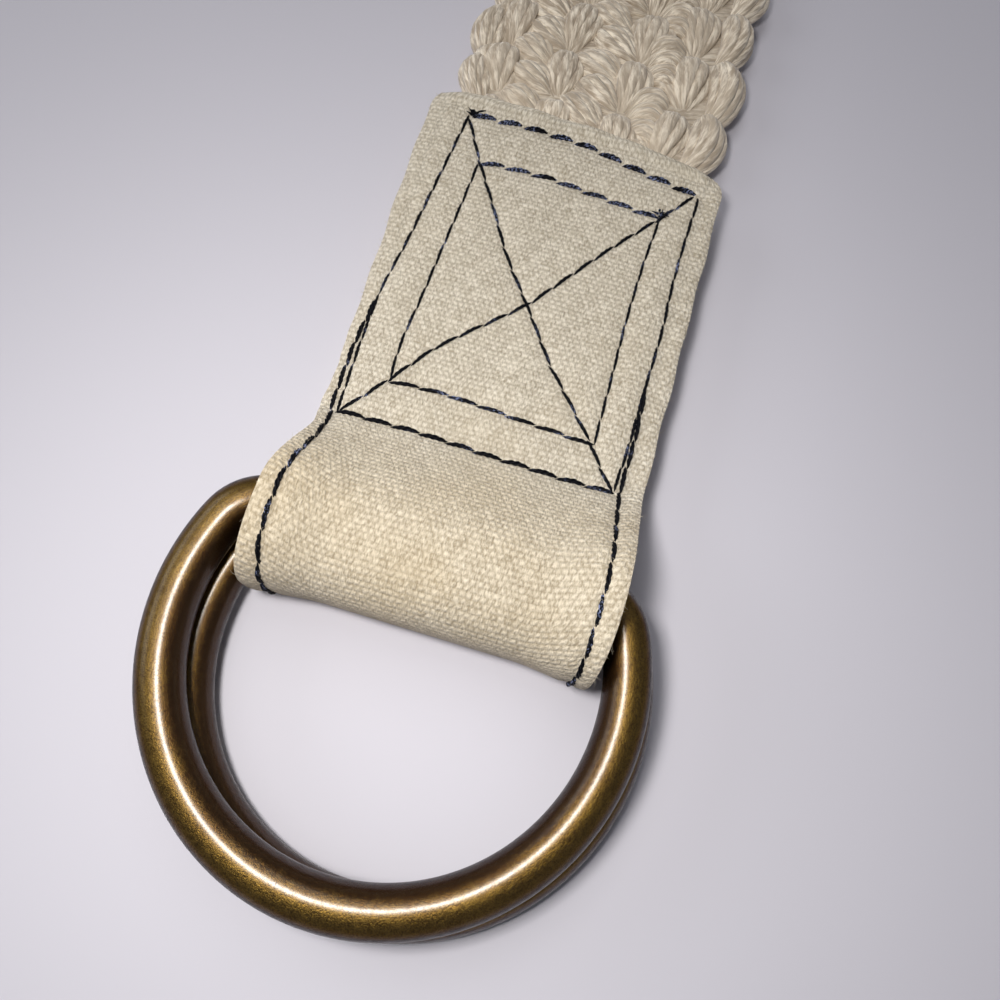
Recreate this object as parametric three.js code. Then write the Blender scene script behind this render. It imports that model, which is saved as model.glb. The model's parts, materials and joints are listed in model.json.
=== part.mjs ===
import * as THREE from "three";

// D-ring belt: a crocheted cotton strap whose end is sewn into a folded canvas tab.
// The tab's fold holds the straight bars of two antique brass D-rings, one on the other.
// Millimetres. X runs from the rings to the free end, Z is up, and the belt lies on z = 0.
// The stitch line between the fold and the sewn box is x = 0 while the pieces are made.

// Canvas
const CANVAS = 1.6;
const GAP = 0.32;
const TAB_END = 58.6;
const TAB_TOP = 8.2;
const EDGE_DROOP = 1.1;
const EDGE_DROOP_FROM = 20.2;
const CORNER_RADIUS = 2.6;

// Fold of the canvas round the bars
const FOLD_X = -14.6;
const FOLD_REACH = 10;
const FOLD_TOP = 16;
const SQUARENESS_LOW = 3.4;
const SQUARENESS_HIGH = 2.3;
const SHOULDER_END = 2;
const FLARE_FROM = 13;
const FLARE_TO = 23.4;
const FLARE_UP = 2.8;
const FLARE_OUT = 0.9;

// Half widths of the tab, at the corners of the canvas's run from its lower end to its upper one
const TAB_WIDTHS = [
  { run: 0, left: 23.8, right: 23.8 },
  { run: 1, left: 23, right: 23 },
  { run: 1.5, left: 21.8, right: 22.2 },
  { run: 2, left: 21.4, right: 22.8 },
  { run: 3, left: 22.6, right: 23.4 },
  { run: 4, left: 23.6, right: 23.8 },
];

// D-rings: both alike, 49 mm clear width, of 5.9 mm wire
const WIRE = 2.934;
const ARC_RADIUS = 27.57;
const BAR_TO_ARC_CENTRE = 13.78;
const CORNER = 6;
const WIRE_SIDES = 12;
const RINGS = [
  { name: "d_ring_lower", x: -15.55, y: -1.1, z: 4.88, pitch: -0.0475 },
  { name: "d_ring_upper", x: -14.55, y: 0.7, z: 10.96, pitch: -0.0395 },
];

// Crocheted strap
const STRAP_START = 4;
const STRAP_END = 945;
const ROW_PITCH = 11.5;
const STATIONS_PER_ROW = 4;
const STRAP_HALF_WIDTH = 21.4;
const SCALLOP = 1.5;
const STRAP_TOP = 6.5;
const PUFF_RELIEF = 0.45;
const HELD_HALF_WIDTH = 20;
const RISE_LENGTH = 5;
const SETTLE_LENGTH = 16;
const TAIL_ROUNDING = 9;

const canvas = new THREE.MeshStandardMaterial({ color: 0xd9cfb0, roughness: 0.95, metalness: 0 });
const cotton = new THREE.MeshStandardMaterial({ color: 0xcfc0a8, roughness: 0.9, metalness: 0 });
const brass = new THREE.MeshStandardMaterial({ color: 0x7a5c2a, roughness: 0.36, metalness: 1 });

const { clamp, lerp, smoothstep } = THREE.MathUtils;

// The tab's upper edge and the rows of the strap next to it run slightly askew
function skew(y) {
  return 0.07 * y - 0.004 * y * y;
}

// Joins a list of equal point rings into one closed body with its faces pointing out
function body(sections, closing) {
  const around = sections[0].length;
  const points = sections.flat();
  const faces = [];
  const steps = closing === "loop" ? sections.length : sections.length - 1;
  for (let i = 0; i < steps; i++) {
    const next = (i + 1) % sections.length;
    for (let j = 0; j < around; j++) {
      const k = (j + 1) % around;
      const a = i * around + j;
      const b = i * around + k;
      const c = next * around + k;
      const d = next * around + j;
      faces.push([a, b, c], [a, c, d]);
    }
  }
  if (closing !== "loop") {
    const last = (sections.length - 1) * around;
    for (const face of capFaces(around, closing)) {
      faces.push([face[2], face[1], face[0]]);
      faces.push(face.map((index) => index + last));
    }
  }
  return facingOut(points, faces);
}

// A fan closes a round section, and a strip closes the section of a folded wall
function capFaces(around, closing) {
  const faces = [];
  if (closing === "fan") {
    for (let j = 1; j < around - 1; j++) {
      faces.push([0, j, j + 1]);
    }
    return faces;
  }
  const half = around / 2;
  for (let j = 0; j < half - 1; j++) {
    const across = around - 1 - j;
    faces.push([j, j + 1, across], [j + 1, across - 1, across]);
  }
  return faces;
}

function facingOut(points, faces) {
  let volume = 0;
  const cross = new THREE.Vector3();
  for (const [a, b, c] of faces) {
    volume += points[a].dot(cross.crossVectors(points[b], points[c]));
  }
  const outward = volume > 0 ? faces : faces.map(([a, b, c]) => [c, b, a]);
  const geometry = new THREE.BufferGeometry().setFromPoints(points);
  geometry.setIndex(outward.flat());
  geometry.computeVertexNormals();
  return geometry;
}

// Straight bar on x = 0, two rounded corners and one long arc towards -x
function ringCentreline() {
  const cornerY = Math.sqrt((ARC_RADIUS - CORNER) ** 2 - (BAR_TO_ARC_CENTRE - CORNER) ** 2);
  const meet = Math.atan2(cornerY, BAR_TO_ARC_CENTRE - CORNER);
  const arcs = [
    { x: -BAR_TO_ARC_CENTRE, y: 0, radius: ARC_RADIUS, from: meet, to: 2 * Math.PI - meet, steps: 32 },
    { x: -CORNER, y: -cornerY, radius: CORNER, from: 2 * Math.PI - meet, to: 2 * Math.PI, steps: 5 },
    { x: -CORNER, y: cornerY, radius: CORNER, from: 0, to: meet, steps: 5 },
  ];
  const path = [];
  for (const arc of arcs) {
    for (let i = 0; i < arc.steps; i++) {
      const angle = lerp(arc.from, arc.to, i / arc.steps);
      path.push([arc.x + arc.radius * Math.cos(angle), arc.y + arc.radius * Math.sin(angle), angle]);
    }
    if (arc.to === 2 * Math.PI) {
      path.push([0, -cornerY, 0], [0, -cornerY / 3, 0], [0, cornerY / 3, 0]);
    }
  }
  return path;
}

function ringGeometry() {
  const sections = ringCentreline().map(([x, y, facing]) => {
    const section = [];
    for (let side = 0; side < WIRE_SIDES; side++) {
      const turn = ((side + 0.5) / WIRE_SIDES) * 2 * Math.PI;
      const outward = WIRE * Math.cos(turn);
      const up = WIRE * Math.sin(turn);
      section.push(new THREE.Vector3(x + outward * Math.cos(facing), y + outward * Math.sin(facing), up));
    }
    return section;
  });
  return body(sections, "loop");
}

function tabHalfWidth(run, side) {
  const next = TAB_WIDTHS.findIndex((row) => row.run >= run);
  const above = TAB_WIDTHS[Math.max(next, 1)];
  const below = TAB_WIDTHS[Math.max(next, 1) - 1];
  const t = smoothstep(run, below.run, above.run);
  return lerp(below[side], above[side], t);
}

// Middle of the canvas's thickness, from its lower end round the bars to its upper end.
// run counts the stretches: under the strap, round the fold, down the shoulder, over the strap.
function tabMidline(y, flare) {
  const low = CANVAS / 2;
  const high = FOLD_TOP + FLARE_UP * flare - CANVAS / 2;
  const flat = TAB_TOP - CANVAS / 2;
  const reach = FOLD_REACH + FLARE_OUT * flare - CANVAS / 2;
  const end = TAB_END + skew(y);
  const droop = EDGE_DROOP * smoothstep(Math.abs(y), EDGE_DROOP_FROM, FLARE_TO);
  const points = [];
  for (const t of [0, 0.3, 0.6, 0.85]) {
    points.push({ run: t, x: lerp(end, FOLD_X, t), z: low });
  }
  const foldSteps = 18;
  for (let i = 0; i <= foldSteps; i++) {
    const angle = (i / foldSteps) * Math.PI;
    const power = 2 / (i < foldSteps / 2 ? SQUARENESS_LOW : SQUARENESS_HIGH);
    const out = Math.pow(Math.sin(angle), power);
    const rise = -Math.sign(Math.cos(angle)) * Math.pow(Math.abs(Math.cos(angle)), power);
    const z = lerp(low, high, (rise + 1) / 2);
    points.push({ run: 1 + i / foldSteps, x: FOLD_X - reach * out, z });
  }
  const shoulderSteps = 8;
  for (let i = 1; i <= shoulderSteps; i++) {
    const t = i / shoulderSteps;
    const z = lerp(high, flat, smoothstep(t, 0, 1)) - droop * t * t;
    points.push({ run: 2 + t, x: lerp(FOLD_X, SHOULDER_END, t), z });
  }
  for (const t of [0.25, 0.5, 0.8, 0.94, 0.98, 1]) {
    points.push({ run: 3 + t, x: lerp(SHOULDER_END, end, t), z: flat - droop });
  }
  return points;
}

function tabGeometry() {
  const across = [-1, -0.96, -0.9, -0.82, -0.72, -0.58, -0.3, 0, 0.3, 0.58, 0.72, 0.82, 0.9, 0.96, 1];
  const sections = across.map((v) => {
    const side = v > 0 ? "left" : "right";
    const flare = smoothstep(Math.abs(v) * FLARE_TO, FLARE_FROM, FLARE_TO);
    const middle = tabMidline(v * tabHalfWidth(4, side), flare);
    const outer = [];
    const inner = [];
    middle.forEach((point, i) => {
      const before = middle[Math.max(i - 1, 0)];
      const after = middle[Math.min(i + 1, middle.length - 1)];
      const run = new THREE.Vector2(after.x - before.x, after.z - before.z).normalize();
      const nearEnd = clamp((point.run - 3.94) / 0.06, 0, 1);
      const rounding = CORNER_RADIUS * (1 - Math.sqrt(1 - nearEnd ** 2)) * (nearEnd > 0 ? 1 : 0);
      const y = v * (tabHalfWidth(point.run, side) - rounding);
      outer.push(new THREE.Vector3(point.x - (run.y * CANVAS) / 2, y, point.z + (run.x * CANVAS) / 2));
      inner.unshift(new THREE.Vector3(point.x + (run.y * CANVAS) / 2, y, point.z - (run.x * CANVAS) / 2));
    });
    return [...outer, ...inner];
  });
  return body(sections, "strip");
}

// One cross-section of the strap: four columns of puffs on top, round edges, flat below
function strapSection(station, x) {
  const free = smoothstep(x, TAB_END + 0.6, TAB_END + 0.6 + RISE_LENGTH);
  const settled = smoothstep(x, TAB_END, TAB_END + SETTLE_LENGTH);
  const phase = (station % STATIONS_PER_ROW) / STATIONS_PER_ROW;
  const bulge = Math.sin(phase * Math.PI);
  const tail = clamp((x - (STRAP_END - TAIL_ROUNDING)) / TAIL_ROUNDING, 0, 1);
  const narrowing = TAIL_ROUNDING * (1 - Math.sqrt(1 - tail ** 2));
  const freeWidth = STRAP_HALF_WIDTH + SCALLOP * bulge - narrowing;
  const halfWidth = lerp(HELD_HALF_WIDTH, freeWidth, free);
  const bottom = lerp(CANVAS + GAP, 0, settled);
  const heldTop = TAB_TOP - CANVAS - GAP;
  const edgeZ = (bottom + lerp(heldTop, STRAP_TOP, free)) / 2;
  const section = [new THREE.Vector3(x, -halfWidth, edgeZ)];
  for (const u of [-0.75, -0.5, -0.25, 0, 0.25, 0.5, 0.75]) {
    const column = Math.round((u + 0.75) * 2);
    const onColumn = Math.abs(u * 4) % 2 === 1;
    const raised = (station + column) % 2 === 0 ? 1 : -0.4;
    const relief = PUFF_RELIEF * (onColumn ? raised : -1);
    section.push(new THREE.Vector3(x, u * halfWidth, lerp(heldTop, STRAP_TOP + relief, free)));
  }
  section.push(new THREE.Vector3(x, halfWidth, edgeZ));
  section.push(new THREE.Vector3(x, 0.86 * halfWidth, bottom));
  section.push(new THREE.Vector3(x, -0.86 * halfWidth, bottom));
  for (const point of section) {
    point.x += skew(point.y) * (1 - smoothstep(x, TAB_END + RISE_LENGTH, TAB_END + 4 * RISE_LENGTH));
  }
  return section;
}

function strapGeometry() {
  const sections = [strapSection(0, STRAP_START), strapSection(0, TAB_END - 6)];
  const step = ROW_PITCH / STATIONS_PER_ROW;
  const first = TAB_END + 0.6;
  const count = Math.floor((STRAP_END - first) / step);
  for (let station = 0; station <= count; station++) {
    sections.push(strapSection(station, first + station * step));
  }
  sections.push(strapSection(count + 1, STRAP_END));
  return body(sections, "fan");
}

function piece(name, geometry, material) {
  const mesh = new THREE.Mesh(geometry, material);
  mesh.name = name;
  return mesh;
}

const belt = new THREE.Group();
belt.add(piece("crochet_strap", strapGeometry(), cotton));
belt.add(piece("canvas_tab", tabGeometry(), canvas));
for (const row of RINGS) {
  const ring = piece(row.name, ringGeometry(), brass);
  ring.position.set(row.x, row.y, row.z);
  ring.rotation.y = row.pitch;
  belt.add(ring);
}

// The origin is the middle of the belt's box, on the surface that it lies on
const box = new THREE.Box3().setFromObject(belt, true);
belt.position.set(-(box.min.x + box.max.x) / 2, -(box.min.y + box.max.y) / 2, -box.min.z);

export default belt;
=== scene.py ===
# %% [markdown]
# # A crocheted belt with two D-rings
# The belt is a band of crocheted cotton. Its end is sewn into a folded canvas tab, and the fold
# holds two brass D-rings. The parts were made to size elsewhere, and this lesson dresses them:
# it loads them as a fixed frame and builds the fine shapes and the finishes around them.

# %% The fixed frame
import json
import math
import random
from contextlib import contextmanager

import bpy
import numpy as np
from mathutils import Matrix, Vector

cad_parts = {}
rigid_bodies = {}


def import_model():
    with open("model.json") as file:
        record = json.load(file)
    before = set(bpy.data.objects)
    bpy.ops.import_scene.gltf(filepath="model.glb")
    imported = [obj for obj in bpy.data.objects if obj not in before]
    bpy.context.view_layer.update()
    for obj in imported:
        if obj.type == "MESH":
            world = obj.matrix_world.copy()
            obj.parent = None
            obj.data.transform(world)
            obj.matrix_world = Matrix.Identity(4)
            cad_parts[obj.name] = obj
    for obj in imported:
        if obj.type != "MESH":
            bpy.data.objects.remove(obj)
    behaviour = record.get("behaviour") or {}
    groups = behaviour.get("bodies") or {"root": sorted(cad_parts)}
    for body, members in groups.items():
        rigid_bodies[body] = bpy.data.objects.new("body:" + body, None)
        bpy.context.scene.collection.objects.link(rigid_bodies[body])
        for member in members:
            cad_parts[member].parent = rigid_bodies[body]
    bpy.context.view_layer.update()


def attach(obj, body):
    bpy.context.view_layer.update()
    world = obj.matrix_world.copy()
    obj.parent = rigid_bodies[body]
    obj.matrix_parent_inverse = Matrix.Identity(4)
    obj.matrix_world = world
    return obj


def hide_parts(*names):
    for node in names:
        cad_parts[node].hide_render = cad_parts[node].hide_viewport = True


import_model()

# %% [markdown]
# The belt's own drawing is in millimetres, with x = 0 at the stitch line beside the fold, +x up
# the strap and +y to the left. Working in those numbers and shifting them once at the end keeps
# every size readable. This cell holds that shift.

# %% From the drawing to the frame
MM = 0.001
DRAWING_ORIGIN = np.array([-442.640, 0.2, 0.0])


def placed(points):
    """Drawing millimetres to metres in the frame."""
    return (np.asarray(points, float) + DRAWING_ORIGIN) * MM


print("drawing origin in the frame:", placed([0, 0, 0]).round(5))

# %% [markdown]
# The picture is a close view from above the rings with a wide lens. The camera could be turned by
# eye, but a camera that was fitted to the outlines of both rings and of the tab gives the same
# lean of every edge, so its place and its two axes are written down here.

# %% Camera
CAMERA_PLACE = Vector((-0.478816, -0.010243, 0.101304))
CAMERA_RIGHT = Vector((0.28323, -0.95813, 0.04195))
CAMERA_UP = Vector((0.9065, 0.28174, 0.31446))
LENS_MM = 27.04


def linked(name, data):
    """A new object that holds the data, in the scene."""
    made = bpy.data.objects.new(name, data)
    bpy.context.scene.collection.objects.link(made)
    return made


camera_data = bpy.data.cameras.new("camera")
camera_data.lens = LENS_MM
camera_data.sensor_width = 36
camera_data.clip_start = 0.003
camera = linked("camera", camera_data)
camera_back = CAMERA_RIGHT.cross(CAMERA_UP).normalized()
turn = Matrix((CAMERA_RIGHT, CAMERA_UP, camera_back)).transposed().to_4x4()
camera.matrix_world = Matrix.Translation(CAMERA_PLACE) @ turn
bpy.context.scene.camera = camera
print("camera looks along", (-camera_back).to_tuple(3))

# %% [markdown]
# ## Light and floor
# The belt lies on a pale surface in a room, with one small lamp close above the rings. Three
# lights stand for that: a broad soft one over the whole belt, a second from the side that gives
# the edges a shadow, and the small lamp, whose reflection is the bright line along the brass.

# %% Lights
def soft_light(name, place, aim, size, watts, colour):
    data = bpy.data.lights.new(name, "AREA")
    data.shape = "RECTANGLE"
    data.size, data.size_y = size
    data.energy = watts
    data.color = colour
    light = linked(name, data)
    light.location = place
    direction = Vector(aim) - Vector(place)
    light.rotation_mode = "QUATERNION"
    light.rotation_quaternion = direction.to_track_quat("-Z", "Y")
    return light


LAMP_PLACE = placed([-33, 16, 122])
soft_light("overhead", (0.1, 0.25, 1.1), (0, 0, 0), (1.5, 0.5), 4.3, (1, 0.985, 0.97))
soft_light("side", (-0.35, 0.75, 0.45), (-0.25, 0, 0), (0.7, 0.35), 1.5, (0.95, 0.97, 1))
soft_light("lamp", LAMP_PLACE, placed([-22, 4, 0]), (0.021, 0.021), 0.142, (1, 0.97, 0.93))

world = bpy.data.worlds.new("room")
bpy.context.scene.world = world
world.use_nodes = True
world.node_tree.nodes["Background"].inputs["Color"].default_value = (0.80, 0.82, 0.90, 1)
world.node_tree.nodes["Background"].inputs["Strength"].default_value = 0.15
bpy.context.scene.view_settings.view_transform = "Standard"

# %% [markdown]
# ## A short way to write materials
# A material is a graph of nodes. Adding each node by hand hides the sums that it makes, so one
# class wraps a socket and turns Python's operators into Math nodes, and another adds any other
# node from its type, its settings and what goes into its sockets.

# %% Material helpers
class Wired:
    """A node's output. Sums written with it become Math nodes."""

    def __init__(self, finish, socket):
        self.finish = finish
        self.socket = socket

    def maths(self, operation, *others):
        values = dict(enumerate((self, *others)))
        return self.finish.node("ShaderNodeMath", {"operation": operation}, values)

    def __add__(self, other):
        return self.maths("ADD", other)

    def __sub__(self, other):
        return self.maths("SUBTRACT", other)

    def __rsub__(self, other):
        return (self * -1) + other

    def __mul__(self, other):
        return self.maths("MULTIPLY", other)

    def __pow__(self, other):
        return self.maths("POWER", other)

    __radd__ = __add__
    __rmul__ = __mul__


class Finish:
    """A material under construction."""

    def __init__(self, name, **shader_values):
        self.material = bpy.data.materials.new(name)
        self.material.use_nodes = True
        self.tree = self.material.node_tree
        self.shader = self.tree.nodes["Principled BSDF"]
        for socket, value in shader_values.items():
            self.shader.inputs[socket.replace("_", " ")].default_value = value

    def node(self, kind, settings=(), sockets=(), output=0):
        made = self.tree.nodes.new(kind)
        for name, value in dict(settings).items():
            setattr(made, name, value)
        for socket, value in dict(sockets).items():
            self.feed(made.inputs[socket], value)
        return Wired(self, made.outputs[output])

    def feed(self, target, value):
        if isinstance(value, Wired):
            self.tree.links.new(value.socket, target)
        else:
            target.default_value = value

    def set(self, socket, value):
        self.feed(self.shader.inputs[socket], value)

    def place(self):
        return self.node("ShaderNodeTexCoord", output="Object")

    def number(self, name):
        return self.node("ShaderNodeAttribute", {"attribute_name": name}, output="Fac")

    def uv(self):
        seen = self.node("ShaderNodeTexCoord", output="UV")
        split = self.node("ShaderNodeSeparateXYZ", sockets={0: seen})
        return split, Wired(self, split.socket.node.outputs[1])

    def noise(self, at, scale, detail=3.0, roughness=0.5):
        values = {"Vector": at, "Scale": scale, "Detail": detail, "Roughness": roughness}
        return self.node("ShaderNodeTexNoise", sockets=values)

    def point(self, x, y, z=0.0):
        return self.node("ShaderNodeCombineXYZ", sockets={0: x, 1: y, 2: z})

    def between(self, value, low, high, to_low=0.0, to_high=1.0):
        values = {0: value, 1: low, 2: high, 3: to_low, 4: to_high}
        settings = {"interpolation_type": "SMOOTHSTEP"}
        return self.node("ShaderNodeMapRange", settings, values)

    def mix(self, share, first, second, how="MIX"):
        settings = {"data_type": "RGBA", "blend_type": how}
        return self.node("ShaderNodeMix", settings, {0: share, 6: first, 7: second}, 2)

    def bump(self, height, distance, strength=1.0, under=None):
        values = {"Height": height, "Distance": distance, "Strength": strength}
        if under is not None:
            values["Normal"] = under
        return self.node("ShaderNodeBump", sockets=values)


def srgb(red, green, blue):
    """A colour as seen, 0 to 255, as the linear values that a shader takes."""
    parts = [c / 255 for c in (red, green, blue)]
    return (*[c / 12.92 if c < 0.04045 else ((c + 0.055) / 1.055) ** 2.4 for c in parts], 1)


print("helpers ready")

# %% [markdown]
# The floor is only something to stand on and to catch the shadows. A single large plane in one pale,
# slightly cool colour does that.

# %% Floor
bpy.ops.object.select_all(action="DESELECT")
bpy.ops.mesh.primitive_plane_add(size=40, location=(0, 0, 0))
floor = bpy.context.object
floor.name = "floor"
pale = Finish("pale_floor", Base_Color=srgb(205, 203, 212), Roughness=0.85)
floor.data.materials.append(pale.material)

# %% [markdown]
# ## Antique brass
# Antiqued brass is plated, stained nearly black and then rubbed, and its surface is satin, with a fine
# grain. The colour also holds painted reflection: the wire is painted gold where it faces outward and up, as
# a painted reflection of the bright room, and painted dark on the inner side of the ring and down its
# outermost side, as a painted dark reflection. Noise makes the rubbing uneven. Each ring carries two numbers
# on its points, how far outward and how far up each point of the wire faces, and the painted reflection
# follows those.

# %% Brass finish
brass = Finish("antique_brass", Metallic=1.0, Coat_Roughness=0.265, Specular_Tint=srgb(128, 100, 58))
brass_place = brass.place()
outward = brass.number("outward")
upward = brass.number("upward")
cloudy = brass.noise(brass_place, 240, 4, 0.6)
blotches = brass.noise(brass_place, 1500, 3, 0.65)
grain = brass.noise(brass_place, 5200, 2, 0.7)
# painted reflection: gold where the wire faces outward and up, with noise for uneven rubbing
gold_reflection_and_rubbing = outward * 0.52 + upward * 0.5 + cloudy * 0.7 + blotches * 0.6
# painted dark reflection down the wire's outermost side
painted_dark_side = brass.between(outward, 0.62, 0.95, 0, 1.1)
gold_reflection_and_rubbing = brass.between(gold_reflection_and_rubbing - painted_dark_side, 0.55, 1.6)
brass_colour = brass.mix(gold_reflection_and_rubbing, srgb(66, 43, 16), srgb(130, 103, 42))
brass_colour = brass.mix(brass.between(grain, 0.30, 0.60, 0.35, 1), srgb(66, 46, 24), brass_colour)
brass.set("Base Color", brass_colour)
brass.set("Coat Weight", brass.between(grain * 0.6 + blotches * 0.4, 0.35, 0.65, 0.50, 1))
brass.set("Roughness", brass.between(grain * 0.55 + blotches * 0.45, 0.3, 0.7, 0.34, 0.50))
brass.set("Normal", brass.bump(grain * 0.6 + blotches * 0.7, 0.00010, 1.0))
print("brass nodes:", len(brass.tree.nodes))

# %% [markdown]
# ## D-rings
# A D-ring is one length of wire: a straight bar, two bent corners and a long arc, closed at a
# joint that the plating hides. A curve with a round section would give it too, but the way it is
# bent suggests the modelling: start with the wire's round section, draw it along the bar, spin it
# round each corner and spin it through the arc.

# %% Ring shape
WIRE_RADIUS = 2.9
WIRE_SIDES = 48
ARC_RADIUS = 27.57
BAR_TO_ARC_CENTRE = 13.78
CORNER_RADIUS = 6.0
CORNER_Y = math.sqrt((ARC_RADIUS - CORNER_RADIUS) ** 2 - (BAR_TO_ARC_CENTRE - CORNER_RADIUS) ** 2)
CORNER_TURN = math.atan2(CORNER_Y, BAR_TO_ARC_CENTRE - CORNER_RADIUS)
NEAR_THE_BAR = -9


def alone(obj):
    bpy.ops.object.select_all(action="DESELECT")
    obj.select_set(True)
    bpy.context.view_layer.objects.active = obj


@contextmanager
def editing(obj, kind="VERT"):
    """Edit mode on one object, with everything in it selected."""
    alone(obj)
    bpy.ops.object.mode_set(mode="EDIT")
    bpy.ops.mesh.select_mode(type=kind)
    bpy.ops.mesh.select_all(action="SELECT")
    yield
    bpy.ops.object.mode_set(mode="OBJECT")


def facing_out(obj):
    with editing(obj, "FACE"):
        bpy.ops.mesh.normals_make_consistent(inside=False)


def drawn_along(vector):
    bpy.ops.mesh.extrude_region_move(TRANSFORM_OT_translate={"value": vector})


def bent_wire():
    """The ring's wire in millimetres, with its bar on x = 0."""
    bpy.ops.object.select_all(action="DESELECT")
    upright = (math.pi / 2, 0, 0)
    bpy.ops.mesh.primitive_circle_add(vertices=WIRE_SIDES, radius=WIRE_RADIUS, rotation=upright)
    wire = bpy.context.object
    bpy.ops.object.transform_apply(rotation=True)
    corner = {"steps": 12, "axis": (0, 0, 1), "angle": -CORNER_TURN}
    arc = {"steps": 120, "axis": (0, 0, 1), "angle": -2 * (math.pi - CORNER_TURN)}
    with editing(wire):
        for _ in range(4):
            drawn_along((0, CORNER_Y / 4, 0))
        bpy.ops.mesh.spin(center=(-CORNER_RADIUS, CORNER_Y, 0), **corner)
        bpy.ops.mesh.spin(center=(-BAR_TO_ARC_CENTRE, 0, 0), **arc)
        bpy.ops.mesh.spin(center=(-CORNER_RADIUS, -CORNER_Y, 0), **corner)
        for _ in range(4):
            drawn_along((0, CORNER_Y / 4, 0))
        bpy.ops.mesh.select_all(action="SELECT")
        bpy.ops.mesh.remove_doubles(threshold=0.01)
        bpy.ops.mesh.normals_make_consistent(inside=False)
    return wire


wire = bent_wire()
print("ring, mm:", [round(s, 2) for s in wire.dimensions], "faces:", len(wire.data.polygons))

# %% [markdown]
# The finish needs to know which way each point of the wire faces. The nearest point of the
# centreline gives that: away from the ring's middle, or towards it, and up or down.

# %% Facing numbers and the two rings
def points_of(mesh):
    flat = np.empty(len(mesh.vertices) * 3)
    mesh.vertices.foreach_get("co", flat)
    return flat.reshape(-1, 3)


def keep_number(mesh, name, values):
    layer = mesh.attributes.new(name, "FLOAT", "POINT")
    layer.data.foreach_set("value", np.asarray(values, np.float32))


def centreline_offset(points):
    """Outward distance of each point from the wire's centreline, seen from above."""
    x, y = points[:, 0], points[:, 1]
    on_arc = np.hypot(x + BAR_TO_ARC_CENTRE, y) - ARC_RADIUS
    to_corner = np.hypot(x + CORNER_RADIUS, np.abs(y) - CORNER_Y) - CORNER_RADIUS
    angle = np.abs(np.arctan2(np.abs(y), x + BAR_TO_ARC_CENTRE))
    past_corner = angle > CORNER_TURN
    return np.where(np.abs(y) < CORNER_Y, np.where(x > NEAR_THE_BAR, x, on_arc),
                    np.where(past_corner, on_arc, to_corner))


wire_points = points_of(wire.data)
keep_number(wire.data, "outward", np.clip(centreline_offset(wire_points) / WIRE_RADIUS, -1, 1))
keep_number(wire.data, "upward", np.clip(wire_points[:, 2] / WIRE_RADIUS, -1, 1))

RINGS = [
    {"name": "brass_ring_upper", "body": "upper_ring", "node": "d_ring_upper",
     "place": (-14.55, 0.7, 10.96), "pitch": -0.0395},
    {"name": "brass_ring_lower", "body": "lower_ring", "node": "d_ring_lower",
     "place": (-15.55, -1.1, 4.88), "pitch": -0.0475},
]
for row in RINGS:
    ring = linked(row["name"], wire.data.copy())
    ring.scale = (MM, MM, MM)
    ring.rotation_euler = (0, row["pitch"], 0)
    ring.location = placed(row["place"])
    alone(ring)
    bpy.ops.object.transform_apply(location=True, rotation=True, scale=True)
    bpy.ops.object.shade_smooth()
    ring.data.materials.append(brass.material)
    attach(ring, row["body"])
    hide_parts(row["node"])
    print(row["name"], "triangles:", 2 * len(ring.data.polygons))
bpy.data.objects.remove(wire)

# %% [markdown]
# ## Canvas
# The tab is thick cotton canvas in a plain weave. A yarn shows where it passes over its neighbour, as a
# small round knuckle, and every second row of knuckles is set half a step along. Rows are about 0.74 mm
# apart and the knuckles in a row 0.92 mm, which is twice the warp's pitch. Modelling each yarn would cost
# millions of faces, so a bump draws them, and the gaps between the knuckles are painted darker in the
# colour, as painted shade. Noise makes the yarns wander, and a finer one adds their fuzz. The pattern reads
# the cloth's own flat coordinates, so it bends with the fold and never slides.

# %% Canvas finish
WARP_PITCH, WEFT_PITCH = 0.46, 0.74
FLAT_UV_MM = 100.0
canvas = Finish("canvas", Roughness=0.95, Sheen_Weight=0.2, Sheen_Roughness=0.5)
canvas.set("Specular IOR Level", 0.2)
along, across = canvas.uv()
canvas_place = canvas.place()
wander = canvas.noise(canvas_place, 230, 2) - 0.5
wander_too = canvas.noise(canvas.point(along * 110, across * 110), 1.0, 3, 0.6) - 0.5
uneven = canvas.noise(canvas.point(along * 170, across * 230), 1.0, 2, 0.6) - 0.5
weft_at = along * (FLAT_UV_MM / WEFT_PITCH) + wander * 0.45 + uneven * 0.35
warp_at = across * (FLAT_UV_MM / WARP_PITCH) + wander_too * 1.1 + uneven * 1.1
row_number = weft_at.maths("FLOOR")
stagger = warp_at * 0.5 + row_number * 0.5
row_rise = (weft_at * math.pi).maths("SINE").maths("ABSOLUTE") ** 1.2
knuckles = (stagger * math.pi).maths("SINE").maths("ABSOLUTE") ** 1.2 * row_rise
each = canvas.noise(canvas.point(stagger.maths("FLOOR") * 3.7, row_number * 5.3), 1.0, 1)
fibres = canvas.noise(canvas.point(along * 190, across * 450), 1.0, 3, 0.7)
slubs = canvas.noise(canvas.point(along * 40, across * 230), 1.0, 2, 0.6)
patches = canvas.noise(canvas_place, 60, 3)
fuzz = (fibres - 0.5) * 2.1
# painted shade: the gaps between the knuckles are darker, with fuzz, slubs and random tone from noise
knuckle_shade_and_tone = canvas.between(knuckles * 0.46 + fuzz + (slubs - 0.5) * 0.6 + (each - 0.5) * 0.9, -0.42, 0.86)
cloth = canvas.mix(knuckle_shade_and_tone, srgb(166, 154, 133), srgb(246, 238, 222))
cloth = canvas.mix(canvas.between(slubs, 0.3, 0.7, 0, 0.25), cloth, srgb(204, 193, 171))
cloth = canvas.mix(canvas.between(patches, 0.45, 0.75, 0, 0.25), cloth, srgb(200, 185, 157))
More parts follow.
